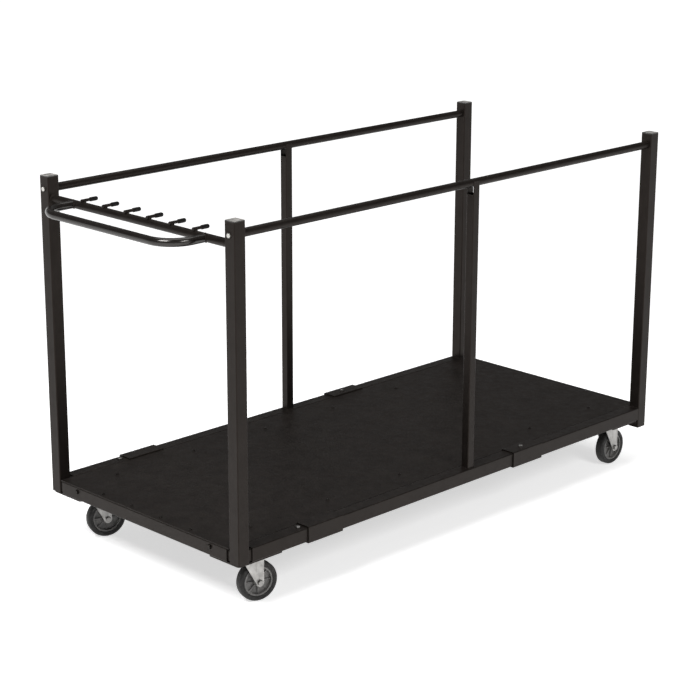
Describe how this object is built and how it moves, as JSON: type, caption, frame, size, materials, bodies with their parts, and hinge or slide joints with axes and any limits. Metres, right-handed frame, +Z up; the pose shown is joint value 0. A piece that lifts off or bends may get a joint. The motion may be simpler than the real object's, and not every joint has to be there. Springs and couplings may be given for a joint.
{
  "type": "banquet table trolley",
  "caption": "Tall open-topped trolley of black steel tube with a flat deck, side rails, spacer pegs, a bent push handle and swivel casters, for carrying tables stood on edge.",
  "frame": {"origin": "on the floor under the wheels, at the middle of the overall footprint", "axes": "+X from the push handle to the open load end, +Y from the near side to the far side, +Z up"},
  "size_m": [2.0464, 0.8884, 1.1791],
  "materials": {
    "black_coat": "satin black powder coat on steel tube and sheet",
    "zinc": "bright zinc plate on pressed and turned steel",
    "dark_bolt": "black oxide steel",
    "cap_plastic": "moulded black polyethylene",
    "tip_vinyl": "soft black dipped vinyl",
    "tread_rubber": "dark grey moulded rubber",
    "wheel_core": "grey moulded polypropylene"
  },
  "bodies": {
    "frame": {"post_handle_near": "black_coat", "post_handle_far": "black_coat", "post_load_near": "black_coat", "post_load_far": "black_coat", "post_caps": "cap_plastic", "top_rail_near": "black_coat", "top_rail_far": "black_coat", "mid_upright_near": "black_coat", "mid_upright_far": "black_coat", "handle_end_rail": "black_coat", "push_handle": "black_coat", "spacer_pegs": "black_coat", "peg_tips": "tip_vinyl", "base_end_rail_handle": "black_coat", "base_end_rail_load": "black_coat", "corner_stub_handle_near": "black_coat", "corner_stub_handle_far": "black_coat", "corner_stub_load_near": "black_coat", "corner_stub_load_far": "black_coat", "core_tube_near": "black_coat", "core_tube_far": "black_coat", "side_sleeve_near": "black_coat", "side_sleeve_far": "black_coat", "splice_collar_near": "black_coat", "splice_collar_far": "black_coat", "cross_member_handle": "black_coat", "cross_member_load": "black_coat", "deck_bearer_near": "black_coat", "deck_bearer_far": "black_coat", "deck_sheet": "black_coat", "caster_pads": "black_coat", "rail_bolts": "zinc", "rail_plugs": "zinc", "splice_bolts": "zinc", "bearer_bolts": "dark_bolt", "bearer_plugs": "zinc", "caster_plate_handle_near": "zinc", "caster_plate_handle_far": "zinc", "caster_plate_load_near": "zinc", "caster_plate_load_far": "zinc", "kingpins": "zinc", "swivel_races": "zinc", "caster_bolts": "zinc", "caster_nuts": "zinc"},
    "caster_handle_near": {"caster_fork_handle_near": "zinc", "caster_axle_handle_near": "zinc"},
    "wheel_handle_near": {"wheel_core_handle_near": "wheel_core", "wheel_tread_handle_near": "tread_rubber"},
    "caster_handle_far": {"caster_fork_handle_far": "zinc", "caster_axle_handle_far": "zinc"},
    "wheel_handle_far": {"wheel_core_handle_far": "wheel_core", "wheel_tread_handle_far": "tread_rubber"},
    "caster_load_near": {"caster_fork_load_near": "zinc", "caster_axle_load_near": "zinc"},
    "wheel_load_near": {"wheel_core_load_near": "wheel_core", "wheel_tread_load_near": "tread_rubber"},
    "caster_load_far": {"caster_fork_load_far": "zinc", "caster_axle_load_far": "zinc"},
    "wheel_load_far": {"wheel_core_load_far": "wheel_core", "wheel_tread_load_far": "tread_rubber"}
  },
  "joints": [
    {"name": "swivel_handle_near", "type": "hinge", "parent": "frame", "child": "caster_handle_near", "pos_m": [-0.78305, -0.357, 0.148], "axis": [0, 0, 1], "continuous": true},
    {"name": "roll_handle_near", "type": "hinge", "parent": "caster_handle_near", "child": "wheel_handle_near", "pos_m": [-0.75998, -0.36362, 0.0625], "axis": [0.2756, 0.9613, 0], "continuous": true},
    {"name": "swivel_handle_far", "type": "hinge", "parent": "frame", "child": "caster_handle_far", "pos_m": [-0.78305, 0.357, 0.148], "axis": [0, 0, 1], "continuous": true},
    {"name": "roll_handle_far", "type": "hinge", "parent": "caster_handle_far", "child": "wheel_handle_far", "pos_m": [-0.7605, 0.34879, 0.0625], "axis": [0.342, 0.9397, 0], "continuous": true},
    {"name": "swivel_load_near", "type": "hinge", "parent": "frame", "child": "caster_load_near", "pos_m": [0.90395, -0.357, 0.148], "axis": [0, 0, 1], "continuous": true},
    {"name": "roll_load_near", "type": "hinge", "parent": "caster_load_near", "child": "wheel_load_near", "pos_m": [0.92795, -0.357, 0.0625], "axis": [0, 1, 0], "continuous": true},
    {"name": "swivel_load_far", "type": "hinge", "parent": "frame", "child": "caster_load_far", "pos_m": [0.90395, 0.357, 0.148], "axis": [0, 0, 1], "continuous": true},
    {"name": "roll_load_far", "type": "hinge", "parent": "caster_load_far", "child": "wheel_load_far", "pos_m": [0.92795, 0.357, 0.0625], "axis": [0, 1, 0], "continuous": true}
  ]
}
